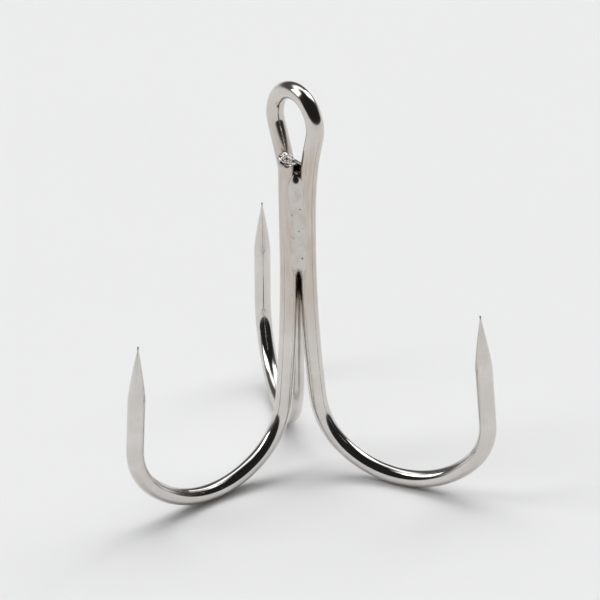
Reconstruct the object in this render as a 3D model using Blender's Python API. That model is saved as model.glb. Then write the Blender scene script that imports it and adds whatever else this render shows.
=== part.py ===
"""Treble fishing hook with straight needle points and a ring eye.

One wire is bent into the double hook: it runs from one point through its bend and up its shank, round the
eye, and down the other shank to the second point. A second wire makes the single hook, whose shank ends cut
off under the eye. Three seams of braze metal fill the valleys between the three shanks.

Frame: the origin is the centre of the eye and +Z runs up the shank axis. The eye opens along Y, the double
hook spreads evenly to both sides of the YZ plane, and the single hook points towards -Y.
Lengths are in metres and angles in radians.
"""

from math import acos, ceil, copysign, cos, pi, radians, sin

import bmesh
import bpy
import numpy as np
from mathutils import Matrix, Vector

# The wire, and how the two wires stand side by side in the shank
WIRE_DIAMETER = 0.00146
SHANK_GAP = 0.00019  # open width between the double hook's two shanks, before the braze fills it
DOUBLE_SPREAD = radians(126)  # angle between the double hook's two bends, seen from above

# The eye and its neck
EYE_INNER_DIAMETER = 0.00376
NECK_ANGLE = radians(18)  # how far each side of the eye leans out where the neck runs straight
NECK_STRAIGHT = 0.00087

# The side view of one hook, from the end of the neck down to the point
SHANK_STRAIGHT = 0.0009
FLARE_RADIUS = 0.119
FLARE_ANGLE = radians(6.5)
FLARE_STRAIGHT = 0.0002
SHANK_BEND_RADIUS = 0.00649
SHANK_BEND_ANGLE = radians(48)
BASE_RADIUS = 0.00851
BASE_ANGLE = radians(86)
POINT_BEND_RADIUS = 0.00521
POINT_LEAN = radians(4.8)  # the point leans in towards the shank
DOUBLE_POINT_LENGTH = 0.00982
SINGLE_POINT_LENGTH = 0.00917

# The needle point, a slightly bellied cone
TAPER_LENGTH = 0.0047
TAPER_POWER = 1.26
TIP_RADIUS = 0.00004
TAPER_STEPS = 10

# The single hook's cut end, below the eye's centre
CUT_END_DROP = 0.0031

# The braze seams
BRAZE_CLEARANCE = 0.00003
FRONT_SEAM_BELOW_CUT = 0.0010  # top of the two seams beside the single hook, below its cut end
REAR_SEAM_CLIMB = 0.0069  # top of the rear seam, above the foot of the neck
SEAM_RUN_INTO_FLARE = 0.0025  # how far the seams run down past the straight shank
SEAM_RUNOUT = 0.0011  # length at each end over which the braze sinks back between the wires
SEAM_CONTACT = radians(24)  # where the braze meets the wire, measured back from the outermost line
SEAM_END_CONTACT = radians(78)
SEAM_DIP = 0.00003  # hollow of the braze's outer face
SEAM_STATIONS = 18
SEAM_WRAP_POINTS = 7
SEAM_FACE_POINTS = 3

# How finely curves are drawn
CHORD_ERROR = 0.000004
WIRE_SIDES_RESOLUTION = 4
TIDY_DISTANCE = 0.0000005
SHARP_EDGE = radians(40)

WIRE_RADIUS = WIRE_DIAMETER / 2
HALF_SPREAD = DOUBLE_SPREAD / 2
SHANK_OFFSET = (WIRE_DIAMETER + SHANK_GAP) / 2 / sin(HALF_SPREAD)  # each shank's distance from the axis
EYE_RADIUS = EYE_INNER_DIAMETER / 2 + WIRE_RADIUS
NECK_FOOT_OUT = SHANK_OFFSET * sin(HALF_SPREAD)
NECK_RADIUS = (EYE_RADIUS * cos(NECK_ANGLE) - NECK_FOOT_OUT - NECK_STRAIGHT * sin(NECK_ANGLE)) / (
    1 - cos(NECK_ANGLE)
)
NECK_FOOT = -(NECK_RADIUS + EYE_RADIUS) * sin(NECK_ANGLE) - NECK_STRAIGHT * cos(NECK_ANGLE)
SEAM_BOTTOM = NECK_FOOT - SHANK_STRAIGHT - SEAM_RUN_INTO_FLARE
FRONT_SEAM_TOP = -CUT_END_DROP - FRONT_SEAM_BELOW_CUT
REAR_SEAM_TOP = NECK_FOOT + REAR_SEAM_CLIMB

DOWN, UP, INWARD = 0.0, pi, 1.5 * pi  # headings, which turn from straight down through outwards to up

NICKEL = ("bright_nickel", (0.66, 0.64, 0.61, 1.0), 0.16)
BRAZE = ("plated_braze", (0.60, 0.58, 0.55, 1.0), 0.30)


class Trace:
    """A centreline drawn in a plane by straights and arcs that meet without a kink."""

    def __init__(self, out, height, heading):
        """Start at a point, facing along a heading."""
        self.points = [(out, height)]
        self.heading = heading

    def straight(self, length, steps=1):
        """Go straight on."""
        out, height = self.points[-1]
        for step in range(1, steps + 1):
            done = length * step / steps
            self.points.append((out + done * sin(self.heading), height - done * cos(self.heading)))
        return self

    def arc(self, radius, turn):
        """Turn by an angle, outwards and up if it is positive."""
        out, height = self.points[-1]
        side = copysign(radius, turn)
        centre = (out + side * cos(self.heading), height + side * sin(self.heading))
        steps = ceil(abs(turn) / (2 * acos(1 - CHORD_ERROR / radius)))
        for step in range(1, steps + 1):
            heading = self.heading + turn * step / steps
            self.points.append((centre[0] - side * cos(heading), centre[1] - side * sin(heading)))
        self.heading += turn
        return self


def eye_side():
    """Half of the eye in its own plane, from the foot of the neck to the crown over the centre."""
    trace = Trace(NECK_FOOT_OUT, NECK_FOOT, UP)
    trace.arc(NECK_RADIUS, -NECK_ANGLE)
    trace.straight(NECK_STRAIGHT)
    trace.arc(EYE_RADIUS, INWARD - trace.heading)
    return trace.points


def shank_side():
    """One shank's side view as (distance from the axis, height), from the foot of the neck to its bend."""
    trace = Trace(SHANK_OFFSET, NECK_FOOT, DOWN)
    trace.straight(SHANK_STRAIGHT)
    trace.arc(FLARE_RADIUS, FLARE_ANGLE)
    return trace.straight(FLARE_STRAIGHT)


def hook_side(point_length):
    """One hook's whole side view, from the foot of the neck to its point."""
    trace = shank_side()
    trace.arc(SHANK_BEND_RADIUS, SHANK_BEND_ANGLE)
    trace.arc(BASE_RADIUS, BASE_ANGLE)
    trace.arc(POINT_BEND_RADIUS, UP + POINT_LEAN - trace.heading)
    trace.straight(point_length - TAPER_LENGTH)
    trace.straight(TAPER_LENGTH, TAPER_STEPS)
    return trace.points


def turned(side, direction):
    """Stand a side view up in space, with the hook pointing in a direction seen from above."""
    return [Vector((out * cos(direction), out * sin(direction), height)) for out, height in side]


def eye_in_space(side):
    """The eye from the left shank over the crown to the right one, eased onto the axis as it rises."""
    foot_set_back = SHANK_OFFSET * cos(HALF_SPREAD)

    def place(out, height):
        climb = min(1 - height / NECK_FOOT, 1)
        eased = climb * climb * (3 - 2 * climb)
        return Vector((out, foot_set_back * (1 - eased), height))

    right = [place(out, height) for out, height in side]
    left = [Vector((-point.x, point.y, point.z)) for point in right]
    return left + right[-2::-1]


def needle_radii(points):
    """The wire's radius at each point of a path that ends in a needle point."""
    radii = []
    left = sum((b - a).length for a, b in zip(points, points[1:]))
    for index, point in enumerate(points):
        if index:
            left -= (point - points[index - 1]).length
        along = min(max(left / TAPER_LENGTH, 0), 1)
        radii.append(max(WIRE_RADIUS * (1 - (1 - along) ** TAPER_POWER), TIP_RADIUS))
    return radii


def make_material(name, colour, roughness):
    material = bpy.data.materials.new(name)
    material.use_nodes = True
    shader = material.node_tree.nodes["Principled BSDF"]
    shader.inputs["Base Color"].default_value = colour
    shader.inputs["Metallic"].default_value = 1.0
    shader.inputs["Roughness"].default_value = roughness
    material.diffuse_color = colour
    return material


def add_wire(name, points, radii, material, collection):
    """A round wire along a path, as a bevelled curve with closed ends."""
    curve = bpy.data.curves.new(name, "CURVE")
    curve.dimensions = "3D"
    curve.bevel_depth = WIRE_RADIUS
    curve.bevel_resolution = WIRE_SIDES_RESOLUTION
    curve.use_fill_caps = True
    spline = curve.splines.new("POLY")
    spline.points.add(len(points) - 1)
    for spot, point, radius in zip(spline.points, points, radii):
        spot.co = (*point, 1.0)
        spot.radius = radius / WIRE_RADIUS
    spline.use_smooth = True
    curve.materials.append(material)
    wire = bpy.data.objects.new(name, curve)
    collection.objects.link(wire)
    return wire


class Shank:
    """Where one wire stands at each height between its bend and the eye."""

    def __init__(self, points):
        """Sort the centreline's points by height."""
        rising = sorted(points, key=lambda point: point.z)
        self.heights = [point.z for point in rising]
        self.x = [point.x for point in rising]
        self.y = [point.y for point in rising]
        self.stretch = np.hypot(1, np.hypot(np.gradient(self.x, self.heights), np.gradient(self.y, self.heights)))

    def centre(self, height):
        """The wire's centre at one height, seen from above."""
        return Vector((np.interp(height, self.heights, self.x), np.interp(height, self.heights, self.y)))

    def reach(self, height):
        """How far the braze stands off the centre: a wire that leans is longer across in a level cut."""
        stretch = float(np.interp(height, self.heights, self.stretch))
        return WIRE_RADIUS * stretch + BRAZE_CLEARANCE


def seam_section(first_shank, second_shank, height, contact):
    """The braze's outline between two wires at one height, seen from above, as a closed ring of points.

    It starts near the axis, follows the first wire out to where the braze ends on it, crosses the hollow
    outer face, and comes back along the second wire. contact is how far round the wire it falls short.
    """
    first, second = first_shank.centre(height), second_shank.centre(height)
    middle = (first + second).normalized()
    across = (second - first).normalized()
    outward = Vector((across.y, -across.x))
    if outward.dot(middle) < 0:
        outward.negate()
    half_sector = middle.angle(first)
    ring = [middle * (BRAZE_CLEARANCE / 2 / sin(half_sector))]

    def wrap(centre, reach, towards):
        """Points round one wire, from its side nearest the axis to the edge of the braze."""
        inner = (-centre).normalized()
        turn = inner.angle(towards) + towards.angle(outward) - contact
        way = copysign(1, inner.cross(towards))
        slack = BRAZE_CLEARANCE / 2 / reach
        angles = np.linspace(slack, turn, SEAM_WRAP_POINTS)
        return [centre + reach * (Matrix.Rotation(way * angle, 2) @ inner) for angle in angles]

    near = wrap(first, first_shank.reach(height), across)
    far = wrap(second, second_shank.reach(height), -across)
    face = []
    for step in range(1, SEAM_FACE_POINTS + 1):
        share = step / (SEAM_FACE_POINTS + 1)
        hollow = SEAM_DIP * 4 * share * (1 - share)
        face.append(near[-1].lerp(far[-1], share) - outward * hollow)
    return ring + near + face + far[::-1]


def add_seam(name, first, second, top, material, collection):
    """One seam of braze between two shanks, lofted through sections from its lower end to its upper end."""
    mesh_data = bmesh.new()
    rings = []
    for share in np.linspace(0, 1, SEAM_STATIONS):
        height = SEAM_BOTTOM + (top - SEAM_BOTTOM) * (0.5 - 0.5 * cos(pi * share))
        run = min(height - SEAM_BOTTOM, top - height) / SEAM_RUNOUT
        sunk = max(1 - run, 0) ** 2
        contact = SEAM_CONTACT + (SEAM_END_CONTACT - SEAM_CONTACT) * sunk
        outline = seam_section(first, second, height, contact)
        rings.append([mesh_data.verts.new((point.x, point.y, height)) for point in outline])
    count = len(rings[0])
    for lower, upper in zip(rings, rings[1:]):
        for index in range(count):
            after = (index + 1) % count
            mesh_data.faces.new((lower[index], lower[after], upper[after], upper[index]))
    mesh_data.faces.new(rings[0][::-1])
    mesh_data.faces.new(rings[-1])
    bmesh.ops.remove_doubles(mesh_data, verts=mesh_data.verts, dist=TIDY_DISTANCE)
    bmesh.ops.recalc_face_normals(mesh_data, faces=mesh_data.faces)
    mesh = bpy.data.meshes.new(name)
    mesh_data.to_mesh(mesh)
    mesh_data.free()
    mesh.shade_smooth()
    mesh.set_sharp_from_angle(angle=SHARP_EDGE)
    mesh.materials.append(material)
    seam = bpy.data.objects.new(name, mesh)
    collection.objects.link(seam)
    return seam


def make_double_hook(eye_path, material, collection):
    """The long wire, from the left point over the eye to the right point."""
    side = hook_side(DOUBLE_POINT_LENGTH)
    right_path = turned(side, pi / 2 - HALF_SPREAD)
    left_path = turned(side, pi / 2 + HALF_SPREAD)
    path = left_path[:0:-1] + eye_path + right_path[1:]
    right_radii = needle_radii(path[len(path) // 2:])
    add_wire("double_hook_wire", path, right_radii[:0:-1] + right_radii, material, collection)


def make_single_hook(material, collection):
    """The short wire, from its cut end to its point."""
    cut_end = Vector((0, -SHANK_OFFSET, -CUT_END_DROP))
    path = [cut_end] + turned(hook_side(SINGLE_POINT_LENGTH), -pi / 2)
    add_wire("single_hook_wire", path, needle_radii(path), material, collection)
    return cut_end


def make_seams(eye_path, cut_end, material, collection):
    """The three seams of braze in the valleys between the shanks."""
    side = shank_side().points
    crown = len(eye_path) // 2
    right = Shank(turned(side, pi / 2 - HALF_SPREAD) + eye_path[crown:-1])
    left = Shank(turned(side, pi / 2 + HALF_SPREAD) + eye_path[1:crown + 1])
    single = Shank(turned(side, -pi / 2) + [cut_end])
    add_seam("braze_seam_right", single, right, FRONT_SEAM_TOP, material, collection)
    add_seam("braze_seam_left", single, left, FRONT_SEAM_TOP, material, collection)
    add_seam("braze_seam_rear", right, left, REAR_SEAM_TOP, material, collection)


def main():
    for old in list(bpy.data.objects):
        bpy.data.objects.remove(old, do_unlink=True)
    hook = bpy.data.collections.new("treble_hook")
    bpy.context.scene.collection.children.link(hook)
    nickel = make_material(*NICKEL)
    braze = make_material(*BRAZE)
    eye_path = eye_in_space(eye_side())
    make_double_hook(eye_path, nickel, hook)
    cut_end = make_single_hook(nickel, hook)
    make_seams(eye_path, cut_end, braze, hook)


main()
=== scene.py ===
"""Visual model of a treble fishing hook, with its studio.

Two nickel-plated wires make the hook. One is bent into the double hook: it runs from point to point through
two bends, up and down the shank and round the eye. The other is the single hook, whose shank is sheared off
under the eye. Plated braze fills the valleys between the three shanks.

Frame: the origin is the centre of the eye and +Z runs up the shank. The eye opens along Y and the single
hook points towards -Y. Lengths are in metres and angles in radians.
"""

import logging
from collections.abc import Callable, Sequence
from dataclasses import dataclass, field
from enum import Enum
from math import ceil, copysign, cos, pi, radians, sin

import bmesh
import bpy
import numpy as np
from mathutils import Matrix, Vector, noise


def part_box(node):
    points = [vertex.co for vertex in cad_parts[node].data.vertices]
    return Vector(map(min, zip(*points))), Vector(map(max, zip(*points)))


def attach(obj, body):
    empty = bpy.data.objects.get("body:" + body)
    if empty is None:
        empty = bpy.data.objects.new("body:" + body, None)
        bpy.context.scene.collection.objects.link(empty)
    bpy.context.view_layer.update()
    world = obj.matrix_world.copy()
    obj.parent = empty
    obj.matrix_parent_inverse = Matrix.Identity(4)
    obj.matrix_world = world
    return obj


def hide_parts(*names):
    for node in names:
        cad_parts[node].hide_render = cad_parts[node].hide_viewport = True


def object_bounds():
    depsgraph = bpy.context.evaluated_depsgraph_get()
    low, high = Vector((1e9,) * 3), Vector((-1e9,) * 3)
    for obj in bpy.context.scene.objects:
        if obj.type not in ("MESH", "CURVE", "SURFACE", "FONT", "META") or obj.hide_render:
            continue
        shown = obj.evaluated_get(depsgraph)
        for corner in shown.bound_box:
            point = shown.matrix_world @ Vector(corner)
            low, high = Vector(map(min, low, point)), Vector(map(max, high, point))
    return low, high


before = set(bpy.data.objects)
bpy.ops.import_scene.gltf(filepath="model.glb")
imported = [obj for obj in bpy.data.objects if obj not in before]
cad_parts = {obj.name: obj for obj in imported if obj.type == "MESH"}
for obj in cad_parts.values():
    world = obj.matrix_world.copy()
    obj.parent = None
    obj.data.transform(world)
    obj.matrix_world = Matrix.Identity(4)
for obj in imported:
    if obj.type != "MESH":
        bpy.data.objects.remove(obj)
CAD_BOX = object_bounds()

MM = 0.001
UM = 0.000001
SHANK_REACH = 4 * MM  # the shanks stay within this distance of the axis, between these heights
SHANK_FOOT = -26 * MM
SHANK_HEAD = -2 * MM
MIDDLE = Vector((0, 0, -16 * MM))  # the point that the lights face
DRAWN = "drawn_wire"  # attribute: where a point lay on the wire before it was bent, in metres

log = logging.getLogger("treble_hook")


class Node(Enum):
    """The kinds of shader node that the finishes and the studio use."""

    ATTRIBUTE = "ShaderNodeAttribute"
    BACKGROUND = "ShaderNodeBackground"
    BUMP = "ShaderNodeBump"
    COORDINATES = "ShaderNodeTexCoord"
    MAP_RANGE = "ShaderNodeMapRange"
    MATH = "ShaderNodeMath"
    MIX = "ShaderNodeMix"
    NOISE = "ShaderNodeTexNoise"
    RAMP = "ShaderNodeValToRGB"
    SEPARATE = "ShaderNodeSeparateXYZ"
    VECTOR_MATH = "ShaderNodeVectorMath"
    VORONOI = "ShaderNodeTexVoronoi"


@dataclass(frozen=True)
class Signal:
    """A number at a shader socket, which adds Math nodes when it is used in an expression."""

    sheet: "NodeSheet"
    socket: bpy.types.NodeSocket

    def maths(self, operation: str, *operands: "Signal | float") -> "Signal":
        """Adds a Math node.

        Args:
            operation: Blender's name for the operation.
            operands: the node's inputs, in order.

        Returns:
            The node's result.
        """
        inputs = dict(enumerate(operands))
        return self.sheet.add(Node.MATH, {"operation": operation}, inputs)[0]

    def __add__(self, other: "Signal | float") -> "Signal":
        """Sum."""
        return self.maths("ADD", self, other)

    def __radd__(self, other: float) -> "Signal":
        """Sum with a plain number in front."""
        return self.maths("ADD", other, self)

    def __sub__(self, other: "Signal | float") -> "Signal":
        """Difference."""
        return self.maths("SUBTRACT", self, other)

    def __rsub__(self, other: float) -> "Signal":
        """Difference from a plain number."""
        return self.maths("SUBTRACT", other, self)

    def __mul__(self, other: "Signal | float") -> "Signal":
        """Product."""
        return self.maths("MULTIPLY", self, other)

    def __rmul__(self, other: float) -> "Signal":
        """Product with a plain number in front."""
        return self.maths("MULTIPLY", other, self)

    def __pow__(self, exponent: float) -> "Signal":
        """Power."""
        return self.maths("POWER", self, exponent)

    def between(self, low: float, high: float) -> "Signal":
        """Smooth step from 0 at low to 1 at high.

        Args:
            low: the value that gives 0.
            high: the value that gives 1.

        Returns:
            The eased value.
        """
        settings = {"interpolation_type": "SMOOTHSTEP"}
        values = {"Value": self, "From Min": low, "From Max": high}
        return self.sheet.add(Node.MAP_RANGE, settings, values)["Result"]


class Outputs:
    """A node's outputs as signals, by index or by name."""

    def __init__(self, sheet: "NodeSheet", node: bpy.types.Node) -> None:
        """Keeps the node and its sheet."""
        self.sheet = sheet
        self.node = node

    def __getitem__(self, key: int | str) -> Signal:
        """The signal at one output; a name finds the output that is switched on."""
        if isinstance(key, int):
            return Signal(self.sheet, self.node.outputs[key])
        named = [s for s in self.node.outputs if s.name == key and s.enabled]
        return Signal(self.sheet, named[0])


class NodeSheet:
    """A node tree and the one method that adds nodes to it."""

    def __init__(self, tree: bpy.types.NodeTree) -> None:
        """Keeps the tree."""
        self.tree = tree

    def add(self, kind: Node, settings: dict | None = None, inputs: dict | None = None) -> Outputs:
        """Adds a node.

        Args:
            kind: the node's type.
            settings: the node's own settings, set before its inputs. A ramp's stops are (place, colour).
            inputs: values or signals, by socket index or name.

        Returns:
            The node's outputs.
        """
        node = self.tree.nodes.new(kind.value)
        for name, value in (settings or {}).items():
            if name == "stops":
                self.set_stops(node.color_ramp, value)
            else:
                setattr(node, name, value)
        for key, value in (inputs or {}).items():
            self.feed(node, key, value)
        return Outputs(self, node)

    def set_stops(self, ramp: bpy.types.ColorRamp, stops: Sequence[tuple]) -> None:
        """Gives a colour ramp its stops.

        Args:
            ramp: the ramp of a Color Ramp node.
            stops: (place, colour) pairs in rising order.
        """
        while len(ramp.elements) < len(stops):
            ramp.elements.new(1.0)
        for element, (place, colour) in zip(ramp.elements, stops):
            element.position = place
            element.color = colour

    def feed(self, node: bpy.types.Node, key: int | str, value: "Signal | float | tuple") -> None:
        """Sets or links one input.

        Args:
            node: the node.
            key: the input's index or name.
            value: a number, a colour, a vector or a signal.
        """
        if isinstance(key, int):
            socket = node.inputs[key]
        else:
            socket = [s for s in node.inputs if s.name == key and s.enabled][0]
        if isinstance(value, Signal):
            self.tree.links.new(value.socket, socket)
        else:
            socket.default_value = value

    def scaled(self, vector: Signal, scale: tuple[float, float, float]) -> Signal:
        """A vector multiplied part by part.

        Args:
            vector: the vector's signal.
            scale: the three factors.

        Returns:
            The scaled vector.
        """
        return self.add(Node.VECTOR_MATH, {"operation": "MULTIPLY"}, {0: vector, 1: scale})["Vector"]

    def grain(self, vector: Signal, size: float, detail: float = 2.0, roughness: float = 0.5) -> Signal:
        """Cloudy noise from about 0 to 1.

        Args:
            vector: where to read it, in metres.
            size: the size of its clouds in metres.
            detail: octaves of finer noise.
            roughness: how much the finer octaves count.

        Returns:
            The noise.
        """
        inputs = {"Vector": vector, "Scale": 1 / size, "Detail": detail, "Roughness": roughness}
        return self.add(Node.NOISE, None, inputs)[0]

    def blend(self, share: Signal, first: tuple | Signal, second: tuple | Signal) -> Signal:
        """A colour between two.

        Args:
            share: 0 for the first and 1 for the second.
            first: the first colour.
            second: the second colour.

        Returns:
            The blended colour.
        """
        settings = {"data_type": "RGBA"}
        return self.add(Node.MIX, settings, {"Factor": share, "A": first, "B": second})["Result"]

    def bumped(self, height: Signal) -> Signal:
        """A normal for a surface that rises by a height in metres."""
        return self.add(Node.BUMP, None, {"Strength": 1.0, "Distance": 1.0, "Height": height})["Normal"]

    def parts(self, vector: Signal) -> Outputs:
        """A vector's X, Y and Z."""
        return self.add(Node.SEPARATE, None, {"Vector": vector})


def colour(red: float, green: float, blue: float) -> tuple[float, float, float, float]:
    """An opaque colour in linear light."""
    return (red, green, blue, 1.0)


def new_material(name: str) -> tuple[bpy.types.Material, NodeSheet, bpy.types.Node]:
    """Makes an empty material.

    Args:
        name: the material's name.

    Returns:
        The material, its node sheet and its Principled node.
    """
    material = bpy.data.materials.new(name)
    material.use_nodes = True
    tree = material.node_tree
    return material, NodeSheet(tree), tree.nodes["Principled BSDF"]


@dataclass(frozen=True)
class Cloud:
    """Cloudy noise, which may be drawn out along Z and have its contrast raised."""

    size: float
    squeeze: float = 1.0  # below 1 it is drawn out along Z
    detail: float = 2.0
    roughness: float = 0.5
    contrast: tuple[float, float] | None = None  # the values that give 0 and 1

    def read(self, sheet: NodeSheet, place: Signal) -> Signal:
        """Adds the noise.

        Args:
            sheet: the finish's node sheet.
            place: where to read it, in metres.

        Returns:
            The noise, from about 0 to 1.
        """
        drawn_out = sheet.scaled(place, (1.0, 1.0, self.squeeze))
        clouds = sheet.grain(drawn_out, self.size, self.detail, self.roughness)
        return clouds.between(*self.contrast) if self.contrast else clouds


@dataclass(frozen=True)
class Pits:
    """Scattered round pits."""

    spacing: float
    size: float  # radius as a share of the spacing
    edge: float  # the flat bottom's radius as a share of the size
    depth: float
    tone: tuple
    roughness: float = 0.4

    def read(self, sheet: NodeSheet, place: Signal) -> Signal:
        """Adds the pits.

        Args:
            sheet: the finish's node sheet.
            place: where to read them, in metres.

        Returns:
            1 in a pit and 0 outside it.
        """
        inputs = {"Vector": place, "Scale": 1 / self.spacing, "Randomness": 1.0}
        cells = sheet.add(Node.VORONOI, {"feature": "F1"}, inputs)["Distance"]
        return 1 - cells.between(self.size * self.edge, self.size)


@dataclass(frozen=True)
class SlotShade:
    """Painted shade: dark brown-black colour painted into the slot between the wires, just under the braze,
    where the hollow lies in shade.
    """

    # painted shade: the near-black colour put into the slot between the wires
    tone: tuple = colour(0.035, 0.026, 0.018)
    roughness: float = 0.4
    heights: tuple = (-16.6 * MM, -15.2 * MM, -14.0 * MM, -13.6 * MM)  # full between the middle two
    distances: tuple = (0.80 * MM, 1.02 * MM)  # from the axis, fading out

    def read(self, distance: Signal, height: Signal) -> Signal:
        """Masks the painted shade.

        Args:
            distance: distance from the shank's axis.
            height: height above the eye's centre.

        Returns:
            1 where the shade is painted.
        """
        low, full, fade, high = self.heights
        band = height.between(low, full) * (1 - height.between(fade, high))
        return band * (1 - distance.between(*self.distances))


@dataclass(frozen=True)
class Tarnish:
    """Warm streaks of tarnish on the shank."""

    tone: tuple = colour(0.575, 0.518, 0.462)
    heights: tuple = (-20.5 * MM, -14.5 * MM, -3 * MM, 0.5 * MM)  # full between the middle two
    fading: float = 0.7  # how much of it goes towards the crown of the eye
    least: float = 0.5  # between the streaks
    streaks: Cloud = Cloud(0.34 * MM, 0.13, 3.0, 0.6, (0.36, 0.62))

    def read(self, sheet: NodeSheet, place: Signal, height: Signal, shank: Signal) -> Signal:
        """Masks the tarnish.

        Args:
            sheet: the finish's node sheet.
            place: where a point lay on the drawn wire.
            height: height above the eye's centre.
            shank: 1 on the shank and 0 on the points.

        Returns:
            How much it is tarnished, from 0 to 1.
        """
        low, full, fade, high = self.heights
        band = height.between(low, full) * (1 - height.between(fade, high) * self.fading) * shank
        return band * (self.least + self.streaks.read(sheet, place) * (1 - self.least))


@dataclass(frozen=True)
class BrokenEnd:
    """Bare broken steel at the wire's start."""

    reach: float = 0.5 * MM
    edge: float = 0.6  # share of the reach over which it is all bare
    tone: tuple = colour(0.46, 0.44, 0.42)
    roughness: float = 0.14

    def read(self, along: Signal) -> Signal:
        """1 where the steel is bare, given the length along the wire."""
        return 1 - along.between(self.reach * self.edge, self.reach)


@dataclass(frozen=True)
class BrightNickel:
    """Bright nickel plating over drawn wire.

    The die's fine lines run along the wire under the plating, handling leaves faint smudges, and a few
    pinholes show dark. The shank is tarnished, the slot between the wires is darkened with painted shade,
    and the points' tips are dark.
    """

    name: str
    tip_height: float
    broken_end: BrokenEnd | None = None
    warm: tuple = colour(0.640, 0.606, 0.570)
    pale: tuple = colour(0.735, 0.716, 0.690)
    polish: float = 0.06
    lines: Cloud = Cloud(0.055 * MM, 0.055 / 2.6, 3.0, 0.6)
    line_contrast: tuple = (0.3, 0.7)
    line_share: float = 0.45  # of the mix between warm and pale; smudges make the rest
    line_roughness: float = 0.025
    line_depth: float = 0.9 * UM
    ripples: Cloud = Cloud(0.55 * MM, 0.25, 1.0)
    ripple_depth: float = 3.0 * UM
    smudges: Cloud = Cloud(1.9 * MM, 1.0, 4.0, 0.6, (0.38, 0.66))
    smudge_roughness: float = 0.04
    pits: Pits = Pits(0.85 * MM, 0.045, 0.5, 8.0 * UM, colour(0.10, 0.085, 0.07))
    tarnish: Tarnish = Tarnish()
    # painted shade in the slot between the wires, under the braze
    slot_shade: SlotShade = SlotShade()
    shank_distances: tuple = (5 * MM, 7 * MM)  # from the axis, where the shank ends and the points begin
    tip_length: float = 0.45 * MM
    tip_tone: tuple = colour(0.10, 0.09, 0.08)

    def make(self) -> bpy.types.Material:
        """Builds the material, which reads the drawn_wire attribute and object coordinates.

        Returns:
            The material.
        """
        material, sheet, shader = new_material(self.name)
        place = sheet.add(Node.ATTRIBUTE, {"attribute_name": DRAWN})["Vector"]
        spot = sheet.parts(sheet.add(Node.COORDINATES)["Object"])
        distance, height = (spot["X"] * spot["X"] + spot["Y"] * spot["Y"]) ** 0.5, spot["Z"]
        shank = 1 - distance.between(*self.shank_distances)
        lines, ripples = self.lines.read(sheet, place), self.ripples.read(sheet, place)
        smudges, pits = self.smudges.read(sheet, place), self.pits.read(sheet, place)
        tip = height.between(self.tip_height - self.tip_length, self.tip_height) * (1 - shank)
        # mask of the painted shade in the slot between the wires
        slot_shaded = self.slot_shade.read(distance, height)
        pale = lines.between(*self.line_contrast) * self.line_share + smudges * (1 - self.line_share)
        metal = sheet.blend(pale, self.warm, self.pale)
        metal = sheet.blend(self.tarnish.read(sheet, place, height, shank), metal, self.tarnish.tone)
        # the last of these masks paints shade into the slot between the wires
        for mask, tone in ((pits, self.pits.tone), (tip, self.tip_tone), (slot_shaded, self.slot_shade.tone)):
            metal = sheet.blend(mask, metal, tone)
        gloss = self.polish + smudges * self.smudge_roughness + lines * self.line_roughness
        gloss = gloss + pits * self.pits.roughness + slot_shaded * self.slot_shade.roughness
        if self.broken_end:
            broken = self.broken_end.read(sheet.parts(place)["Z"])
            metal = sheet.blend(broken, metal, self.broken_end.tone)
            gloss = gloss + broken * self.broken_end.roughness
        sheet.feed(shader, "Base Color", metal)
        sheet.feed(shader, "Metallic", 1.0)
        sheet.feed(shader, "Roughness", gloss)
        relief = lines * self.line_depth + ripples * self.ripple_depth - pits * self.pits.depth
        sheet.feed(shader, "Normal", sheet.bumped(relief))
        return material


@dataclass(frozen=True)
class PlatedBraze:
    """Braze metal that flowed between the wires and was plated with them."""

    name: str = "plated_braze"
    warm: tuple = colour(0.565, 0.522, 0.482)
    pale: tuple = colour(0.640, 0.608, 0.578)
    polish: float = 0.11
    clouds: Cloud = Cloud(0.9 * MM, 1.0, 4.0, 0.65, (0.36, 0.66))
    cloud_roughness: float = 0.10
    waves: Cloud = Cloud(0.45 * MM, 0.45)
    wave_depth: float = 9.0 * UM
    pits: Pits = Pits(0.62 * MM, 0.17, 0.45, 16.0 * UM, colour(0.12, 0.10, 0.085))

    def make(self) -> bpy.types.Material:
        """Builds the material, which reads object coordinates.

        Returns:
            The material.
        """
        material, sheet, shader = new_material(self.name)
        place = sheet.add(Node.COORDINATES)["Object"]
        waves, clouds = self.waves.read(sheet, place), self.clouds.read(sheet, place)
        pits = self.pits.read(sheet, place)
        metal = sheet.blend(clouds, self.pale, self.warm)
        sheet.feed(shader, "Base Color", sheet.blend(pits, metal, self.pits.tone))
        sheet.feed(shader, "Metallic", 1.0)
        gloss = self.polish + clouds * self.cloud_roughness + pits * self.pits.roughness
        sheet.feed(shader, "Roughness", gloss)
        sheet.feed(shader, "Normal", sheet.bumped(waves * self.wave_depth - pits * self.pits.depth))
        return material


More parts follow.
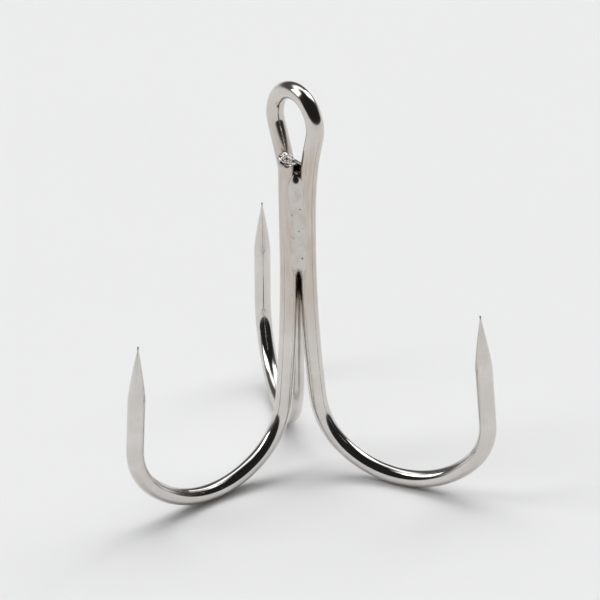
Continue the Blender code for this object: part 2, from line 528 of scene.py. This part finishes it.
@dataclass(frozen=True)
class SweepPaper:
    """The matt white paper that the hook stands on."""

    name: str = "sweep_paper"
    tone: tuple = colour(0.700, 0.699, 0.700)
    tone_low: tuple = colour(0.686, 0.685, 0.686)
    roughness: float = 0.75
    fibres: Cloud = Cloud(0.35 * MM, 1.0, 3.0, 0.6)
    fibre_share: float = 0.4  # of the mix between the tones; cockle makes the rest
    fibre_roughness: float = 0.1
    fibre_depth: float = 4 * UM
    cockle: Cloud = Cloud(28 * MM)

    def make(self) -> bpy.types.Material:
        """Builds the material, which reads object coordinates.

        Returns:
            The material.
        """
        material, sheet, shader = new_material(self.name)
        place = sheet.add(Node.COORDINATES)["Object"]
        fibres, cockle = self.fibres.read(sheet, place), self.cockle.read(sheet, place)
        light = fibres * self.fibre_share + cockle * (1 - self.fibre_share)
        sheet.feed(shader, "Base Color", sheet.blend(light, self.tone_low, self.tone))
        sheet.feed(shader, "Roughness", self.roughness + fibres * self.fibre_roughness)
        sheet.feed(shader, "Normal", sheet.bumped(fibres * self.fibre_depth))
        return material


DOWN, UP, INWARD = 0.0, pi, 1.5 * pi  # headings, which turn from straight down through outwards to up


class SideView:
    """A centreline drawn in a plane by straights and arcs that meet without a kink."""

    step = 0.11 * MM

    def __init__(self, out: float, height: float, heading: float) -> None:
        """Starts the line at a point, heading one way."""
        self.points = [(out, height)]
        self.heading = heading

    def straight(self, length: float, step: float | None = None) -> "SideView":
        """Draws straight on.

        Args:
            length: how far.
            step: the spacing of points, if not the usual one.

        Returns:
            The line itself.
        """
        out, height = self.points[-1]
        steps = max(ceil(length / (step or self.step)), 1)
        for index in range(1, steps + 1):
            done = length * index / steps
            self.points.append((out + done * sin(self.heading), height - done * cos(self.heading)))
        return self

    def arc(self, radius: float, turn: float) -> "SideView":
        """Draws an arc, outwards and up if its turn is positive.

        Args:
            radius: the arc's radius.
            turn: the angle it turns through.

        Returns:
            The line itself.
        """
        out, height = self.points[-1]
        side = copysign(radius, turn)
        centre = (out + side * cos(self.heading), height + side * sin(self.heading))
        steps = ceil(abs(turn) * radius / self.step)
        for index in range(1, steps + 1):
            heading = self.heading + turn * index / steps
            self.points.append((centre[0] - side * cos(heading), centre[1] - side * sin(heading)))
        self.heading += turn
        return self


@dataclass(frozen=True)
class HookSizes:
    """The driving sizes of the bent wires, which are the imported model's."""

    wire_diameter: float = 1.46 * MM
    shank_gap: float = 0.19 * MM
    double_spread: float = radians(126)
    eye_inner_diameter: float = 3.76 * MM
    neck_angle: float = radians(18)
    neck_straight: float = 0.87 * MM
    shank_straight: float = 0.9 * MM
    flare_radius: float = 119 * MM
    flare_angle: float = radians(6.5)
    flare_straight: float = 0.2 * MM
    shank_bend_radius: float = 6.49 * MM
    shank_bend_angle: float = radians(48)
    base_radius: float = 8.51 * MM
    base_angle: float = radians(86)
    point_bend_radius: float = 5.21 * MM
    point_lean: float = radians(4.8)
    double_point_length: float = 9.82 * MM
    single_point_length: float = 9.17 * MM
    taper_length: float = 4.7 * MM
    taper_power: float = 1.26
    taper_step: float = 0.05 * MM
    tip_radius: float = 0.06 * MM
    cut_end_drop: float = 3.1 * MM

    @property
    def wire_radius(self) -> float:
        """Half the wire's thickness."""
        return self.wire_diameter / 2

    @property
    def half_spread(self) -> float:
        """Angle of each of the double hook's bends from the plane between them."""
        return self.double_spread / 2

    @property
    def shank_offset(self) -> float:
        """Each shank's distance from the axis."""
        return (self.wire_diameter + self.shank_gap) / 2 / sin(self.half_spread)

    @property
    def eye_radius(self) -> float:
        """Radius of the eye's centreline."""
        return self.eye_inner_diameter / 2 + self.wire_radius

    @property
    def foot_out(self) -> float:
        """How far out from the axis each side of the neck starts."""
        return self.shank_offset * sin(self.half_spread)

    @property
    def neck_radius(self) -> float:
        """Radius of the neck's outward curve, which joins the shank to the straight."""
        lean = self.neck_angle
        run = self.eye_radius * cos(lean) - self.foot_out - self.neck_straight * sin(lean)
        return run / (1 - cos(lean))

    @property
    def foot(self) -> float:
        """Height of the foot of the neck."""
        lean = self.neck_angle
        return -(self.neck_radius + self.eye_radius) * sin(lean) - self.neck_straight * cos(lean)

    def eye_side(self) -> list[tuple[float, float]]:
        """Half of the eye in its own plane.

        Returns:
            Points (out, height) from the foot of the neck to the crown over the centre.
        """
        view = SideView(self.foot_out, self.foot, UP)
        view.arc(self.neck_radius, -self.neck_angle)
        view.straight(self.neck_straight)
        view.arc(self.eye_radius, INWARD - view.heading)
        return view.points

    def hook_side(self, point_length: float) -> list[tuple[float, float]]:
        """One hook's side view.

        Args:
            point_length: length of its straight point.

        Returns:
            Points (distance from the axis, height) from the foot of the neck to the tip.
        """
        view = SideView(self.shank_offset, self.foot, DOWN)
        view.straight(self.shank_straight)
        view.arc(self.flare_radius, self.flare_angle)
        view.straight(self.flare_straight)
        view.arc(self.shank_bend_radius, self.shank_bend_angle)
        view.arc(self.base_radius, self.base_angle)
        view.arc(self.point_bend_radius, UP + self.point_lean - view.heading)
        view.straight(point_length - self.taper_length)
        view.straight(self.taper_length, self.taper_step)
        return view.points

    def needle(self, left: np.ndarray) -> np.ndarray:
        """The wire's radius near a needle point.

        Args:
            left: lengths that are left to the tip.

        Returns:
            The radius at each.
        """
        along = np.clip(left / self.taper_length, 0, 1)
        return np.maximum(self.wire_radius * (1 - (1 - along) ** self.taper_power), self.tip_radius)


def turned(side: Sequence[tuple[float, float]], direction: float) -> np.ndarray:
    """Stands a side view up in space.

    Args:
        side: points (distance from the axis, height).
        direction: where the hook points, seen from above.

    Returns:
        The points in space.
    """
    flat = np.array(side)
    return np.column_stack((flat[:, 0] * cos(direction), flat[:, 0] * sin(direction), flat[:, 1]))


def lengths_along(points: np.ndarray) -> np.ndarray:
    """The length of a path from its start to each of its points."""
    return np.concatenate(([0.0], np.cumsum(np.linalg.norm(np.diff(points, axis=0), axis=1))))


def closed_mesh(
    name: str, faces: Sequence[Sequence[int]], places: np.ndarray, drawn: np.ndarray
) -> bpy.types.Mesh:
    """A smooth mesh with the drawn_wire attribute.

    Args:
        name: the mesh's name.
        faces: vertex numbers of each face.
        places: where the vertices are.
        drawn: where they lay before bending.

    Returns:
        The mesh.
    """
    mesh = bpy.data.meshes.new(name)
    mesh.from_pydata(places.tolist(), [], faces)
    mesh.update()
    attribute = mesh.attributes.new(DRAWN, "FLOAT_VECTOR", "POINT")
    attribute.data.foreach_set("vector", drawn.astype(np.float32).ravel())
    tidy = bmesh.new()
    tidy.from_mesh(mesh)
    bmesh.ops.recalc_face_normals(tidy, faces=tidy.faces)
    tidy.to_mesh(mesh)
    tidy.free()
    mesh.shade_smooth()
    return mesh


def tube_faces(rows: int, columns: int) -> list[tuple[int, ...]]:
    """The four-sided faces of a tube.

    Args:
        rows: how many rings it has.
        columns: how many points each ring has.

    Returns:
        Vertex numbers of each face.
    """
    faces = []
    for low in range(0, (rows - 1) * columns, columns):
        high = low + columns
        for index in range(columns):
            after = (index + 1) % columns
            faces.append((low + index, low + after, high + after, high + index))
    return faces


@dataclass
class SweptWire:
    """A round wire swept along a centreline, closed at both ends."""

    centres: np.ndarray
    radii: np.ndarray
    sides: int = 56
    first_aside: tuple[float, float, float] = (0.31, 0.95, 0.07)  # any direction off the wire's start

    def frames(self) -> tuple[np.ndarray, np.ndarray]:
        """Frames that don't twist along the centreline.

        Returns:
            The two directions across it at each point.
        """
        tangents = np.gradient(self.centres, lengths_along(self.centres), axis=0)
        tangents /= np.linalg.norm(tangents, axis=1)[:, None]
        across = np.empty_like(tangents)
        first = np.cross(tangents[0], self.first_aside)
        across[0] = first / np.linalg.norm(first)
        for index in range(1, len(tangents)):
            carried = across[index - 1] - tangents[index] * np.dot(across[index - 1], tangents[index])
            across[index] = carried / np.linalg.norm(carried)
        return across, np.cross(tangents, across)

    def straight_rings(self, caps: Sequence[float]) -> list[np.ndarray]:
        """The wire's rings while it is still straight, along Z.

        Args:
            caps: radii of the rings that close the start, as shares of the wire's, from the middle outwards.

        Returns:
            The rings, from the start to the end.
        """
        angles = np.linspace(0, 2 * pi, self.sides, endpoint=False)
        ring = np.column_stack((np.cos(angles), np.sin(angles)))
        rings = [np.column_stack((ring * self.radii[0] * share, np.zeros(self.sides))) for share in caps]
        for radius, length in zip(self.radii, lengths_along(self.centres)):
            rings.append(np.column_stack((ring * radius, np.full(self.sides, length))))
        return rings

    def bent(self, straight: np.ndarray) -> np.ndarray:
        """Bends the straight wire's points onto the centreline.

        Args:
            straight: points of the straight wire.

        Returns:
            Where they end up.
        """
        across, aside = self.frames()
        along = lengths_along(self.centres)
        rows = np.clip(np.searchsorted(along, straight[:, 2]) - 1, 0, len(along) - 2)
        share = (straight[:, 2] - along[rows]) / (along[rows + 1] - along[rows])
        centre = self.centres[rows] + (self.centres[rows + 1] - self.centres[rows]) * share[:, None]
        inner = np.clip(share, 0, 1)[:, None]
        side = across[rows] * (1 - inner) + across[rows + 1] * inner
        other = aside[rows] * (1 - inner) + aside[rows + 1] * inner
        return centre + side * straight[:, :1] + other * straight[:, 1:2]

    def mesh(
        self, name: str, relief: Callable | None = None, caps: Sequence[float] = ()
    ) -> bpy.types.Mesh:
        """Builds the wire's mesh.

        Args:
            name: the mesh's name.
            relief: given the straight wire's points, moves them before they are bent.
            caps: radii of the rings that close the start, as shares of the wire's, from the middle outwards.

        Returns:
            The mesh.
        """
        rings = self.straight_rings(caps)
        poles = np.array([(0, 0, 0), (0, 0, lengths_along(self.centres)[-1])], float)
        straight = np.concatenate((*rings, poles))
        shaped = relief(straight) if relief else straight
        faces = tube_faces(len(rings), self.sides)
        start = len(rings) * self.sides
        end, last = start + 1, start - self.sides
        for index in range(self.sides):
            after = (index + 1) % self.sides
            faces.append((start, after, index))
            faces.append((end, last + index, last + after))
        return closed_mesh(name, faces, self.bent(shaped), shaped)


def show(
    name: str, mesh: bpy.types.Mesh, finish: bpy.types.Material, node: str
) -> bpy.types.Object:
    """Puts a finished piece in the scene, riding on the hook's body.

    Args:
        name: the piece's name.
        mesh: its mesh.
        finish: its material.
        node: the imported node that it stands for.

    Returns:
        The piece.
    """
    mesh.materials.append(finish)
    piece = bpy.data.objects.new(name, mesh)
    bpy.context.scene.collection.objects.link(piece)
    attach(piece, "root")
    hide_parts(node)
    log.info("%s: %d faces, stands for %s", name, len(mesh.polygons), node)
    return piece


@dataclass
class DoubleHook:
    """The long wire: two hooks, their shanks and the eye between them."""

    sizes: HookSizes = field(default_factory=HookSizes)
    node: str = "double_hook_wire"
    slot: str = "nickel_plated_wire"

    def half(self) -> np.ndarray:
        """The right half of the centreline.

        Returns:
            Points from the crown of the eye to the right point.
        """
        sizes = self.sizes
        set_back = sizes.shank_offset * cos(sizes.half_spread)
        flat = np.array(sizes.eye_side())
        climb = np.minimum(1 - flat[:, 1] / sizes.foot, 1)
        eased = climb * climb * (3 - 2 * climb)
        rise = np.column_stack((flat[:, 0], set_back * (1 - eased), flat[:, 1]))
        hook = turned(sizes.hook_side(sizes.double_point_length), pi / 2 - sizes.half_spread)
        return np.concatenate((rise[::-1], hook[1:]))

    def centreline(self) -> np.ndarray:
        """The whole centreline.

        Returns:
            Points from the left point to the right point.
        """
        right = self.half()
        left = right * (-1, 1, 1)
        return np.concatenate((left[::-1], right[1:]))

    def build(self, finish: bpy.types.Material) -> bpy.types.Object:
        """Makes the piece.

        Args:
            finish: the wire's material.

        Returns:
            The piece.
        """
        centres = self.centreline()
        along = lengths_along(centres)
        radii = self.sizes.needle(np.minimum(along, along[-1] - along))
        wire = SweptWire(centres, radii)
        return show("double_hook", wire.mesh("double_hook"), finish, self.node)


@dataclass
class SingleHook:
    """The short wire: one hook, whose shank is sheared off under the eye."""

    sizes: HookSizes = field(default_factory=HookSizes)
    node: str = "single_hook_wire"
    slot: str = "nickel_plated_wire"
    shear_slope: float = 0.48  # rise of the cut face across the wire
    shear_direction: float = radians(-20)
    shear_reach: float = 1.5 * MM
    torn_length: float = 0.12 * MM  # how far below the rim the tearing starts
    tear_depth: float = 0.13 * MM
    tear_size: float = 0.30 * MM
    tear_fading: float = 0.9  # how fast the finer tears die away
    tear_refining: float = 2.0  # how much finer each octave is
    tear_octaves: int = 4
    rim_round: float = 0.12 * MM
    rim_start: float = 0.8  # share of the radius at which the rim rolls over
    face_rings: int = 14
    face_shares: tuple[float, float] = (0.06, 0.97)  # radii of the cut face's inner and outer rings

    def centreline(self) -> np.ndarray:
        """The single hook's centreline.

        Returns:
            Points from the cut end to the point.
        """
        sizes = self.sizes
        hook = turned(sizes.hook_side(sizes.single_point_length), -pi / 2)
        steps = ceil((-sizes.cut_end_drop - sizes.foot) / SideView.step)
        heights = np.linspace(-sizes.cut_end_drop, sizes.foot, steps, endpoint=False)
        upper = np.column_stack((np.zeros(steps), np.full(steps, -sizes.shank_offset), heights))
        return np.concatenate((upper, hook))

    def sheared(self, straight: np.ndarray) -> np.ndarray:
        """Slopes and roughens the cut end.

        Args:
            straight: points of the straight wire, whose cut end is at 0.

        Returns:
            The points, moved along the wire.
        """
        shaped = straight.copy()
        hold = np.clip(1 - straight[:, 2] / self.shear_reach, 0, 1) ** 2
        lean = straight[:, 0] * cos(self.shear_direction) + straight[:, 1] * sin(self.shear_direction)
        radius = np.hypot(straight[:, 0], straight[:, 1]) / self.sizes.wire_radius
        for index in np.nonzero(hold > 0)[0]:
            spot = Vector(straight[index]) / self.tear_size
            torn = noise.fractal(spot, self.tear_fading, self.tear_refining, self.tear_octaves)
            rounding = max(radius[index] - self.rim_start, 0) * self.rim_round
            near_end = 1.0 if straight[index, 2] < self.torn_length else 0.0
            broken = (torn * self.tear_depth + rounding) * near_end
            shaped[index, 2] += (lean[index] * self.shear_slope) * hold[index] + broken
        return shaped

    def build(self, finish: bpy.types.Material) -> bpy.types.Object:
        """Makes the piece.

        Args:
            finish: the wire's material.

        Returns:
            The piece.
        """
        centres = self.centreline()
        along = lengths_along(centres)
        wire = SweptWire(centres, self.sizes.needle(along[-1] - along))
        caps = np.linspace(*self.face_shares, self.face_rings)
        mesh = wire.mesh("single_hook", self.sheared, caps)
        return show("single_hook", mesh, finish, self.node)


@dataclass
class Shank:
    """Where one wire's centre stands at each height between its bend and the eye."""

    points: np.ndarray

    def at(self, height: float) -> Vector:
        """Finds the centre at a height.

        Args:
            height: the height.

        Returns:
            The centre, seen from above.
        """
        x, y, z = self.points[np.argsort(self.points[:, 2])].T
        return Vector((np.interp(height, z, x), np.interp(height, z, y)))


@dataclass
class BrazeSeam:
    """One seam of braze in the valley between two shanks."""

    name: str
    first: Shank
    second: Shank
    top: float
    bottom: float
    node: str
    sizes: HookSizes = field(default_factory=HookSizes)
    slot: str = "plated_braze"
    contact: float = radians(15)
    end_contact: float = radians(70)
    runout: float = 1.3 * MM
    arch: float = 0.55 * MM  # how far the lower end's face curves up between the wires
    top_arch: float = 0.15 * MM
    stations: int = 110
    face_points: int = 27
    back_points: int = 9
    sink: float = 0.02 * MM
    wave_depth: float = 0.012 * MM
    wave_size: float = 0.6 * MM
    wave_stretch: float = 0.6  # below 1 the waves are drawn out along the shank
    wave_fullness: float = 1.5  # how far out towards the wires the waves keep their depth
    back_arch: float = 0.6  # how much of the arch the back's outer parts follow

    def outline(self, first: Vector, second: Vector, contact: float) -> list[Vector]:
        """The seam's outline seen from above.

        Args:
            first: centre of the first wire.
            second: centre of the second wire.
            contact: how far short of the outermost line the braze ends on each wire.

        Returns:
            A closed ring: the outer face, and then the back, which is sunk into the wires.
        """
        radius = self.sizes.wire_radius
        middle = (first + second).normalized()
        across = (second - first).normalized()
        outward = Vector((across.y, -across.x))
        if outward.dot(middle) < 0:
            outward.negate()
        half = (second - first).length / 2
        start = half - radius * sin(contact)
        fillet = start / sin(contact) if contact > 0 else 0
        base = (first + second) / 2 + outward * (radius * cos(contact) + fillet * cos(contact))
        ring = []
        for step in range(self.face_points):
            angle = contact * (2 * step / (self.face_points - 1) - 1)
            ring.append(base + fillet * (across * sin(angle) - outward * cos(angle)))
        sunk = radius - self.sink
        for centre, way in ((second, -across), (first, across)):
            turn = np.linspace(0, 1, self.back_points)
            turn = turn if centre is second else turn[::-1]
            inner = -centre.normalized()
            edge = (way * sin(contact) + outward * cos(contact)).normalized()
            for share in turn:
                bend = -edge.angle_signed(inner)
                spot = Matrix.Rotation(bend * share, 2) @ edge
                ring.append(centre + sunk * spot)
        return ring

    def row(self, height: float) -> np.ndarray:
        """One ring of the seam's surface.

        Args:
            height: the ring's height before the ends are arched.

        Returns:
            The ring's points.
        """
        run = min(height - self.bottom, self.top - height) / self.runout
        sunk = max(1 - run, 0) ** 2
        contact = self.contact + (self.end_contact - self.contact) * sunk
        lift = max(1 - (height - self.bottom) / (2 * self.runout), 0)
        drop = max(1 - (self.top - height) / (2 * self.runout), 0)
        arched = self.arch * lift - self.top_arch * drop
        ring = []
        for index, point in enumerate(self.outline(self.first.at(height), self.second.at(height), contact)):
            if index < self.face_points:
                bow = 1 - abs(2 * index / (self.face_points - 1) - 1) ** self.wave_fullness
                spot = Vector((point.x, point.y, height * self.wave_stretch)) / self.wave_size
                point = point + point.normalized() * noise.noise(spot) * self.wave_depth * bow
            else:
                bow = 1.0 if index >= self.face_points + self.back_points / 2 else self.back_arch
            ring.append((point.x, point.y, height + bow * arched))
        return np.array(ring)

    def build(self, finish: bpy.types.Material) -> bpy.types.Object:
        """Makes the piece.

        Args:
            finish: the braze's material.

        Returns:
            The piece.
        """
        eased = 0.5 - 0.5 * np.cos(pi * np.linspace(0, 1, self.stations))
        rows = [self.row(self.bottom + (self.top - self.bottom) * share) for share in eased]
        places = np.concatenate(rows)
        count = len(rows[0])
        faces = tube_faces(len(rows), count)
        faces.append(tuple(range(count))[::-1])
        faces.append(tuple(range(len(places) - count, len(places))))
        mesh = closed_mesh(self.name, faces, places, places)
        return show(self.name, mesh, finish, self.node)


@dataclass(frozen=True)
class SoftBox:
    """A flat studio light that faces the hook."""

    name: str
    azimuth: float
    elevation: float
    distance: float
    width: float
    depth: float
    watts: float
    mirrored: bool = True  # whether polished metal shows it

    def build(self, target: Vector) -> bpy.types.Object:
        """Hangs the light.

        Args:
            target: the point that it faces.

        Returns:
            The light.
        """
        data = bpy.data.lights.new(self.name, "AREA")
        data.shape = "RECTANGLE"
        data.size = self.width
        data.size_y = self.depth
        data.energy = self.watts
        light = bpy.data.objects.new(self.name, data)
        light.visible_glossy = self.mirrored
        flat = cos(self.elevation)
        away = Vector((cos(self.azimuth) * flat, sin(self.azimuth) * flat, sin(self.elevation)))
        light.location = target + away * self.distance
        light.rotation_mode = "QUATERNION"
        light.rotation_quaternion = (-away).to_track_quat("-Z", "Y")
        bpy.context.scene.collection.objects.link(light)
        return light


@dataclass(frozen=True)
class Wall:
    """How bright one side of the room is at each elevation, as (degrees, tone) from the horizon up."""

    tones: tuple[tuple[float, float], ...]
    red: float = 0.985
    blue: float = 1.012
    overhead: float = 90.0

    def ramp(self, sheet: NodeSheet, elevation: Signal) -> Signal:
        """Adds a colour ramp for the wall.

        Args:
            sheet: the room's node sheet.
            elevation: 0 at the horizon and 1 overhead.

        Returns:
            The wall's colour.
        """
        stops = [
            (degrees / self.overhead, colour(tone * self.red, tone, tone * self.blue))
            for degrees, tone in self.tones
        ]
        return sheet.add(Node.RAMP, {"stops": stops}, {"Fac": elevation})["Color"]


@dataclass
class Studio:
    """The paper floor, the soft boxes, and the room: dark on one side and pale on the other."""

    floor_height: float
    floor_radius: float = 6.0
    floor_sides: int = 96
    dark_side: Wall = Wall(((0, 0.82), (0.8, 0.6), (2.5, 0.14), (5, 0.04), (12, 0.020), (90, 0.016)))
    pale_side: Wall = Wall((
        (0, 0.82), (8, 0.66), (14, 0.22), (22, 0.10), (43, 0.10), (50, 0.7),
        (54, 1.7), (66, 1.7), (73, 0.35), (80, 0.03), (90, 0.02),
    ))
    dark_from: tuple[float, float] = (radians(-114), radians(-103))
    dark_to: tuple[float, float] = (radians(58), radians(76))
    boxes: tuple[SoftBox, ...] = (
        SoftBox("left_soft_box", radians(-124), radians(42), 3.0, 1.1, 1.8, 22.0),
        SoftBox("right_soft_box", radians(95), radians(44), 3.0, 1.2, 1.8, 19.0),
        SoftBox("back_fill", radians(150), radians(72), 3.0, 2.4, 2.0, 49.0, mirrored=False),
        SoftBox("front_fill", radians(-38), radians(58), 3.0, 3.4, 3.4, 25.0, mirrored=False),
    )

    def floor(self) -> bpy.types.Object:
        """Lays the paper under the hook.

        Returns:
            The paper.
        """
        made = bmesh.new()
        bmesh.ops.create_circle(made, cap_ends=True, radius=self.floor_radius, segments=self.floor_sides)
        mesh = bpy.data.meshes.new("paper_floor")
        made.to_mesh(mesh)
        made.free()
        mesh.materials.append(SweepPaper().make())
        paper = bpy.data.objects.new("paper_floor", mesh)
        paper.location.z = self.floor_height
        bpy.context.scene.collection.objects.link(paper)
        return paper

    def room(self) -> bpy.types.World:
        """Wraps the room round the set.

        Returns:
            The world that holds it.
        """
        world = bpy.data.worlds.new("room")
        world.use_nodes = True
        sheet = NodeSheet(world.node_tree)
        direction = sheet.add(Node.COORDINATES)["Generated"]
        parts = sheet.parts(direction)
        elevation = parts["Z"].maths("ARCSINE", parts["Z"]) * (2 / pi)
        azimuth = parts["Y"].maths("ARCTAN2", parts["Y"], parts["X"])
        dark = azimuth.between(*self.dark_from) * (1 - azimuth.between(*self.dark_to))
        pale_wall = self.pale_side.ramp(sheet, elevation)
        dark_wall = self.dark_side.ramp(sheet, elevation)
        backdrop = [node for node in world.node_tree.nodes if node.bl_idname == Node.BACKGROUND.value][0]
        sheet.feed(backdrop, "Color", sheet.blend(dark, pale_wall, dark_wall))
        bpy.context.scene.world = world
        return world

    def build(self, target: Vector) -> None:
        """Builds the whole set.

        Args:
            target: the point that the lights face.
        """
        self.floor()
        self.room()
        for box in self.boxes:
            box.build(target)
        bpy.context.scene.view_settings.view_transform = "Standard"
        log.info("studio: floor at %.2f mm, %d soft boxes", self.floor_height / MM, len(self.boxes))


@dataclass
class ViewCamera:
    """The camera, aimed at a point on the shank."""

    aim: Vector = field(default_factory=lambda: Vector((0, 0.2 * MM, -16.24 * MM)))
    distance: float = 0.218
    azimuth: float = radians(52.11)
    elevation: float = radians(26.64)
    roll: float = radians(-1.0)
    lens: float = 156.33
    sensor: float = 36.0
    nearest: float = 0.01
    farthest: float = 20.0

    def build(self) -> bpy.types.Object:
        """Sets the camera up.

        Returns:
            The camera.
        """
        data = bpy.data.cameras.new("camera")
        data.lens = self.lens
        data.sensor_width = self.sensor
        data.clip_start = self.nearest
        data.clip_end = self.farthest
        camera = bpy.data.objects.new("camera", data)
        flat = cos(self.elevation)
        away = Vector((sin(self.azimuth) * flat, -cos(self.azimuth) * flat, sin(self.elevation)))
        turn = Matrix.Rotation(self.azimuth, 4, "Z")
        tilt = Matrix.Rotation(pi / 2 - self.elevation, 4, "X")
        roll = Matrix.Rotation(self.roll, 4, "Z")
        camera.matrix_world = Matrix.Translation(self.aim + away * self.distance) @ turn @ tilt @ roll
        bpy.context.scene.collection.objects.link(camera)
        bpy.context.scene.camera = camera
        return camera


def rising(points: np.ndarray) -> Shank:
    """Finds the part of a wire that runs up beside the axis.

    Args:
        points: the wire's centreline.

    Returns:
        The shank.
    """
    near = np.hypot(points[:, 0], points[:, 1]) < SHANK_REACH
    low = points[:, 2] > SHANK_FOOT
    high = points[:, 2] < SHANK_HEAD
    return Shank(points[near & low & high])


def main() -> None:
    """Builds the camera, the studio and the hook's five pieces."""
    logging.basicConfig(level=logging.INFO, format="%(message)s")
    ViewCamera().build()
    Studio(CAD_BOX[0].z).build(MIDDLE)
    braze = PlatedBraze().make()
    double, single = DoubleHook(), SingleHook()
    double_tip = double.centreline()[-1][2]
    single_tip = single.centreline()[-1][2]
    double.build(BrightNickel("bright_nickel", double_tip).make())
    single.build(BrightNickel("bright_nickel_sheared", single_tip, BrokenEnd()).make())
    right = double.half()
    left = rising(right * (-1, 1, 1))
    right = rising(right)
    lone = rising(single.centreline())
    for name, first, second in (
        ("braze_right", lone, right),
        ("braze_left", lone, left),
        ("braze_rear", right, left),
    ):
        node = name.replace("braze_", "braze_seam_")
        low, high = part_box(node)
        BrazeSeam(name, first, second, high.z, low.z, node).build(braze)


if __name__ == "__main__":
    main()
